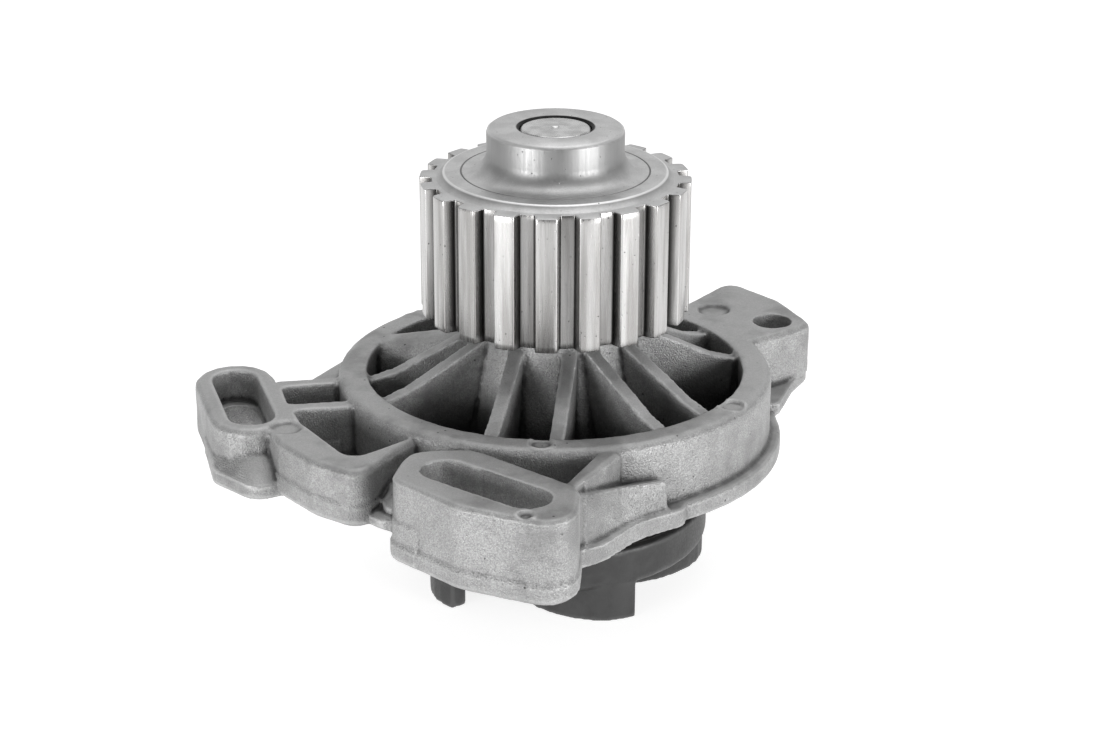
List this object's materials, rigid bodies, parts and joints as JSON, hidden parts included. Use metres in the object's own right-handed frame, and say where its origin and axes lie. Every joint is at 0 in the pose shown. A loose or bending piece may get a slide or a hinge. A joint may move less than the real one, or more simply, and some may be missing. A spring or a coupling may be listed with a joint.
{
  "type": "automotive water pump",
  "caption": "Timing-belt driven coolant pump: cast housing with slotted swing ears, toothed sprocket, integral shaft bearing, face seal and plastic impeller.",
  "frame": {"origin": "on the shaft axis, in the plane of the flange face that seals on the engine block", "axes": "+Z along the shaft from the engine block towards the sprocket hub; +X towards the side with the single round bolt hole; the left slotted ear lies at -X and the front slotted ear at -Y"},
  "size_m": [0.1408, 0.1378, 0.1043],
  "materials": {
    "cast_aluminium": "die cast, fine grain",
    "sintered_steel": "machined and sintered",
    "bearing_steel": "ground",
    "seal_metal": "drawn sheet",
    "black_rubber": "matte",
    "carbon": "lapped",
    "ceramic": "lapped",
    "cage_plastic": "moulded",
    "impeller_plastic": "moulded, satin"
  },
  "bodies": {
    "housing": {"housing_casting": "cast_aluminium", "flange_seal_ring": "black_rubber", "bearing_outer_ring": "bearing_steel", "bearing_seal_pulley_side": "black_rubber", "bearing_seal_water_side": "black_rubber", "seal_cup": "seal_metal", "seal_bellows": "black_rubber", "seal_spring": "bearing_steel", "seal_carbon_ring": "carbon"},
    "rotor": {"shaft": "bearing_steel", "timing_sprocket": "sintered_steel", "impeller": "impeller_plastic", "impeller_insert": "bearing_steel", "seal_mating_ring": "ceramic", "mating_ring_seat": "black_rubber", "drain_slinger": "bearing_steel"},
    "ball_set": {"ball_cage": "cage_plastic", "bearing_ball_1": "bearing_steel", "bearing_ball_2": "bearing_steel", "bearing_ball_3": "bearing_steel", "bearing_ball_4": "bearing_steel", "bearing_ball_5": "bearing_steel", "bearing_ball_6": "bearing_steel", "bearing_ball_7": "bearing_steel", "bearing_ball_8": "bearing_steel", "bearing_ball_9": "bearing_steel"},
    "roller_set": {"roller_cage": "cage_plastic", "bearing_roller_1": "bearing_steel", "bearing_roller_2": "bearing_steel", "bearing_roller_3": "bearing_steel", "bearing_roller_4": "bearing_steel", "bearing_roller_5": "bearing_steel", "bearing_roller_6": "bearing_steel", "bearing_roller_7": "bearing_steel", "bearing_roller_8": "bearing_steel", "bearing_roller_9": "bearing_steel"}
  },
  "joints": [
    {"name": "shaft_spin", "type": "hinge", "parent": "housing", "child": "rotor", "pos_m": [0, 0, 0.03], "axis": [0, 0, 1], "continuous": true},
    {"name": "ball_set_orbit", "type": "hinge", "parent": "housing", "child": "ball_set", "pos_m": [0, 0, 0.0205], "axis": [0, 0, 1], "continuous": true},
    {"name": "roller_set_orbit", "type": "hinge", "parent": "housing", "child": "roller_set", "pos_m": [0, 0, 0.0375], "axis": [0, 0, 1], "continuous": true}
  ],
  "couplings": [
    {"joint": "ball_set_orbit", "follows": "shaft_spin", "ratio": 0.36896},
    {"joint": "roller_set_orbit", "follows": "shaft_spin", "ratio": 0.37327}
  ]
}
